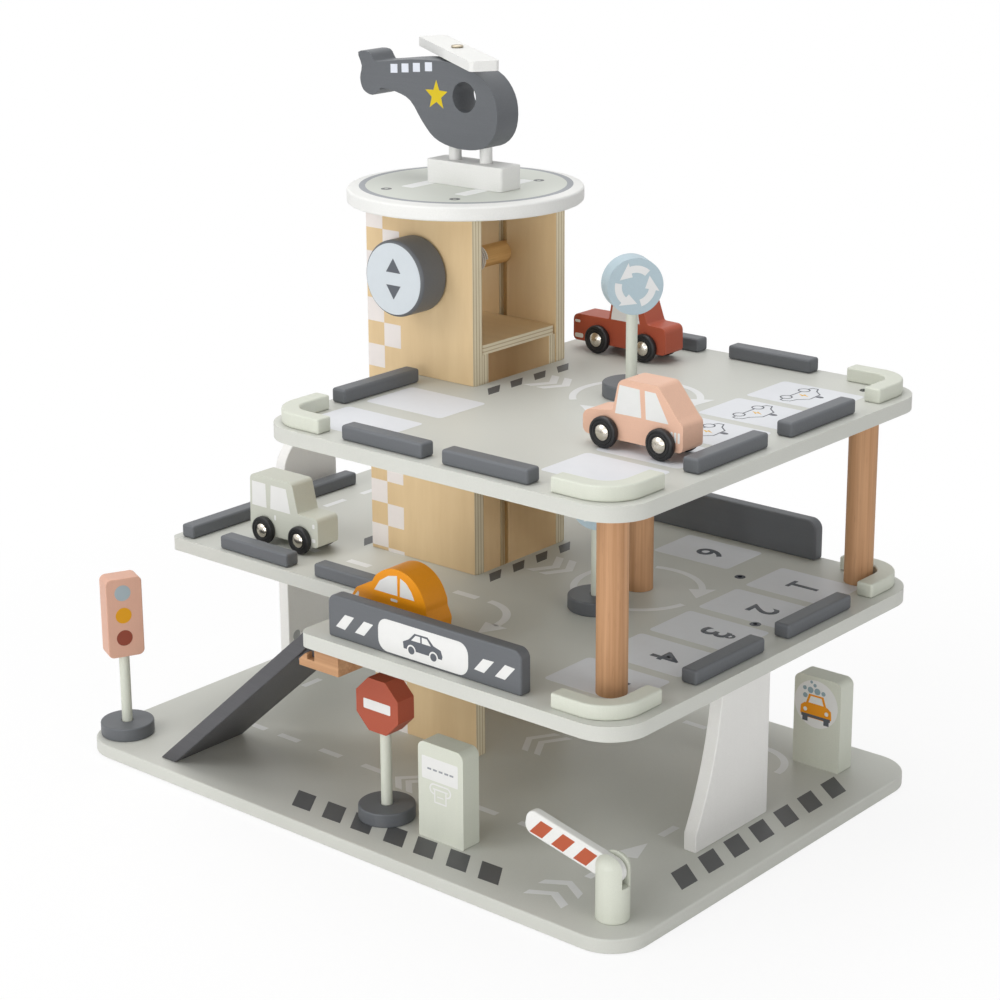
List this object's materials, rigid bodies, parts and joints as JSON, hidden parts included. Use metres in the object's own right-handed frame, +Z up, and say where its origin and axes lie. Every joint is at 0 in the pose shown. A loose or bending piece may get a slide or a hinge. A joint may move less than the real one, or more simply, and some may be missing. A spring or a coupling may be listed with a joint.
{
  "type": "toy parking garage",
  "caption": "Wooden play garage: decks on boards and posts, a cord lift wound up in a tower, a hook-on ramp, a swinging barrier, loose signs, rolling cars and a helicopter on a landing board.",
  "frame": {"origin": "middle of the base board's underside, where the garage rests on the floor", "axes": "+X along the front from the ramp to the barrier, +Y from the front to the back, +Z up the tower"},
  "size_m": [0.45, 0.3134, 0.46],
  "materials": {
    "grey_painted_board": "satin paint",
    "white_painted_wood": "satin paint",
    "bare_plywood": "sanded and clear coated",
    "bare_hardwood": "sanded and clear coated",
    "dark_grey_painted_wood": "satin paint",
    "pale_green_painted_wood": "satin paint",
    "steel": "zinc plated",
    "white_cord": "twisted cotton",
    "pink_painted_wood": "satin paint",
    "brick_red_painted_wood": "satin paint",
    "blue_grey_painted_wood": "satin paint",
    "orange_painted_wood": "satin paint",
    "black_wheel": "matte, with a plated hub cap"
  },
  "bodies": {
    "garage": {"base_board": "grey_painted_board", "middle_deck": "grey_painted_board", "top_deck": "grey_painted_board", "helipad_disc": "white_painted_wood", "tower_front_wall": "bare_plywood", "tower_back_wall": "bare_plywood", "left_support_board": "white_painted_wood", "right_support_board": "white_painted_wood", "deck_posts": "bare_hardwood", "parking_sign_board": "dark_grey_painted_wood", "rear_wall_board": "dark_grey_painted_wood", "dark_kerbs": "dark_grey_painted_wood", "corner_kerbs": "pale_green_painted_wood", "fixing_screws": "steel", "barrel_nuts": "steel", "ramp_rest_block": "bare_hardwood", "barrier_post": "pale_green_painted_wood", "barrier_pin": "steel", "lift_cord": "white_cord"},
    "ramp": {"ramp_board": "dark_grey_painted_wood", "ramp_hook_strip": "dark_grey_painted_wood"},
    "winder": {"winding_knob": "dark_grey_painted_wood", "winding_shaft": "bare_hardwood", "cord_winding": "white_cord"},
    "lift_cabin": {"cabin_roof": "bare_plywood", "cabin_floor": "bare_plywood", "cabin_sides": "bare_plywood", "cabin_guide_pegs": "bare_hardwood"},
    "barrier": {"barrier_arm": "white_painted_wood"},
    "traffic_light": {"traffic_light_head": "pink_painted_wood", "traffic_light_pole": "pale_green_painted_wood", "traffic_light_base": "dark_grey_painted_wood"},
    "octagon_sign": {"octagon_sign_head": "brick_red_painted_wood", "octagon_sign_pole": "pale_green_painted_wood", "octagon_sign_base": "dark_grey_painted_wood"},
    "upper_roundabout_sign": {"upper_roundabout_sign_head": "blue_grey_painted_wood", "upper_roundabout_sign_pole": "pale_green_painted_wood", "upper_roundabout_sign_base": "dark_grey_painted_wood"},
    "middle_roundabout_sign": {"middle_roundabout_sign_head": "blue_grey_painted_wood", "middle_roundabout_sign_pole": "pale_green_painted_wood", "middle_roundabout_sign_base": "dark_grey_painted_wood"},
    "ticket_machine": {"ticket_machine": "pale_green_painted_wood"},
    "wash_sign": {"wash_sign_block": "pale_green_painted_wood"},
    "helicopter": {"helicopter_body": "dark_grey_painted_wood", "helicopter_legs": "white_painted_wood", "landing_block": "white_painted_wood", "rotor_screw": "steel"},
    "rotor": {"rotor": "white_painted_wood"},
    "red_car": {"red_car_body": "brick_red_painted_wood"},
    "red_car_front_axle": {"red_car_front_wheels": "black_wheel"},
    "red_car_rear_axle": {"red_car_rear_wheels": "black_wheel"},
    "pink_car": {"pink_car_body": "pink_painted_wood"},
    "pink_car_front_axle": {"pink_car_front_wheels": "black_wheel"},
    "pink_car_rear_axle": {"pink_car_rear_wheels": "black_wheel"},
    "green_car": {"green_car_body": "pale_green_painted_wood"},
    "green_car_front_axle": {"green_car_front_wheels": "black_wheel"},
    "green_car_rear_axle": {"green_car_rear_wheels": "black_wheel"},
    "orange_car": {"orange_car_body": "orange_painted_wood"},
    "orange_car_front_axle": {"orange_car_front_wheels": "black_wheel"},
    "orange_car_rear_axle": {"orange_car_rear_wheels": "black_wheel"}
  },
  "joints": [
    {"name": "lift_slide", "type": "slide", "parent": "garage", "child": "lift_cabin", "axis": [0, 0, 1], "range_m": [-0.2125, 0.0295], "deforming": ["lift_cord"]},
    {"name": "winder_turn", "type": "hinge", "parent": "garage", "child": "winder", "pos_m": [-0.0436, -0.02575, 0.324], "axis": [0, 1, 0], "range_deg": [-1553, 217]},
    {"name": "ramp_lift", "type": "slide", "parent": "garage", "child": "ramp", "axis": [0, 0, 1], "range_m": [0, 0.004]},
    {"name": "barrier_swing", "type": "hinge", "parent": "garage", "child": "barrier", "pos_m": [0.2005, -0.13, 0.0385], "axis": [0, 1, 0], "range_deg": [-12.4, 77.6]},
    {"name": "traffic_light_lift", "type": "slide", "parent": "garage", "child": "traffic_light", "axis": [0, 0, 1], "range_m": [0, 0.1]},
    {"name": "octagon_sign_lift", "type": "slide", "parent": "garage", "child": "octagon_sign", "axis": [0, 0, 1], "range_m": [0, 0.007]},
    {"name": "upper_roundabout_sign_lift", "type": "slide", "parent": "garage", "child": "upper_roundabout_sign", "axis": [0, 0, 1], "range_m": [0, 0.1]},
    {"name": "middle_roundabout_sign_lift", "type": "slide", "parent": "garage", "child": "middle_roundabout_sign", "axis": [0, 0, 1], "range_m": [0, 0.025]},
    {"name": "ticket_machine_lift", "type": "slide", "parent": "garage", "child": "ticket_machine", "axis": [0, 0, 1], "range_m": [0, 0.05]},
    {"name": "wash_sign_lift", "type": "slide", "parent": "garage", "child": "wash_sign", "axis": [0, 0, 1], "range_m": [0, 0.05]},
    {"name": "helicopter_lift", "type": "slide", "parent": "garage", "child": "helicopter", "axis": [0, 0, 1], "range_m": [0, 0.15]},
    {"name": "rotor_spin", "type": "hinge", "parent": "helicopter", "child": "rotor", "pos_m": [-0.051, 0.03255, 0.455], "axis": [0, 0, 1], "continuous": true},
    {"name": "red_car_roll", "type": "slide", "parent": "garage", "child": "red_car", "axis": [1, 0, 0], "range_m": [0, 0.13]},
    {"name": "red_car_front_wheels_turn", "type": "hinge", "parent": "red_car", "child": "red_car_front_axle", "pos_m": [0.0083, 0.11175, 0.26705], "axis": [0, 1, 0], "range_deg": [0, 807]},
    {"name": "red_car_rear_wheels_turn", "type": "hinge", "parent": "red_car", "child": "red_car_rear_axle", "pos_m": [0.0459, 0.11175, 0.26705], "axis": [0, 1, 0], "range_deg": [0, 807]},
    {"name": "pink_car_roll", "type": "slide", "parent": "garage", "child": "pink_car", "axis": [1, 0, 0], "range_m": [-0.148, 0]},
    {"name": "pink_car_front_wheels_turn", "type": "hinge", "parent": "pink_car", "child": "pink_car_front_axle", "pos_m": [0.1432, -0.05575, 0.26705], "axis": [0, 1, 0], "range_deg": [-918, 0]},
    {"name": "pink_car_rear_wheels_turn", "type": "hinge", "parent": "pink_car", "child": "pink_car_rear_axle", "pos_m": [0.1827, -0.05575, 0.26705], "axis": [0, 1, 0], "range_deg": [-918, 0]},
    {"name": "green_car_roll", "type": "slide", "parent": "garage", "child": "green_car", "axis": [1, 0, 0], "range_m": [0, 0.173]},
    {"name": "green_car_front_wheels_turn", "type": "hinge", "parent": "green_car", "child": "green_car_front_axle", "pos_m": [-0.1148, -0.04375, 0.14335], "axis": [0, 1, 0], "range_deg": [0, 1073]},
    {"name": "green_car_rear_wheels_turn", "type": "hinge", "parent": "green_car", "child": "green_car_rear_axle", "pos_m": [-0.1482, -0.04375, 0.14335], "axis": [0, 1, 0], "range_deg": [0, 1073]},
    {"name": "orange_car_roll", "type": "slide", "parent": "garage", "child": "orange_car", "axis": [1, 0, 0], "range_m": [0, 0.107]},
    {"name": "orange_car_front_wheels_turn", "type": "hinge", "parent": "orange_car", "child": "orange_car_front_axle", "pos_m": [0.015, -0.11775, 0.14335], "axis": [0, 1, 0], "range_deg": [0, 664]},
    {"name": "orange_car_rear_wheels_turn", "type": "hinge", "parent": "orange_car", "child": "orange_car_rear_axle", "pos_m": [0.048, -0.11775, 0.14335], "axis": [0, 1, 0], "range_deg": [0, 664]}
  ],
  "couplings": [
    {"joint": "winder_turn", "follows": "lift_slide", "rad_per_m": 127.39},
    {"joint": "red_car_front_wheels_turn", "follows": "red_car_roll", "rad_per_m": 108.11},
    {"joint": "red_car_rear_wheels_turn", "follows": "red_car_roll", "rad_per_m": 108.11},
    {"joint": "pink_car_front_wheels_turn", "follows": "pink_car_roll", "rad_per_m": 108.11},
    {"joint": "pink_car_rear_wheels_turn", "follows": "pink_car_roll", "rad_per_m": 108.11},
    {"joint": "green_car_front_wheels_turn", "follows": "green_car_roll", "rad_per_m": 108.11},
    {"joint": "green_car_rear_wheels_turn", "follows": "green_car_roll", "rad_per_m": 108.11},
    {"joint": "orange_car_front_wheels_turn", "follows": "orange_car_roll", "rad_per_m": 108.11},
    {"joint": "orange_car_rear_wheels_turn", "follows": "orange_car_roll", "rad_per_m": 108.11}
  ]
}
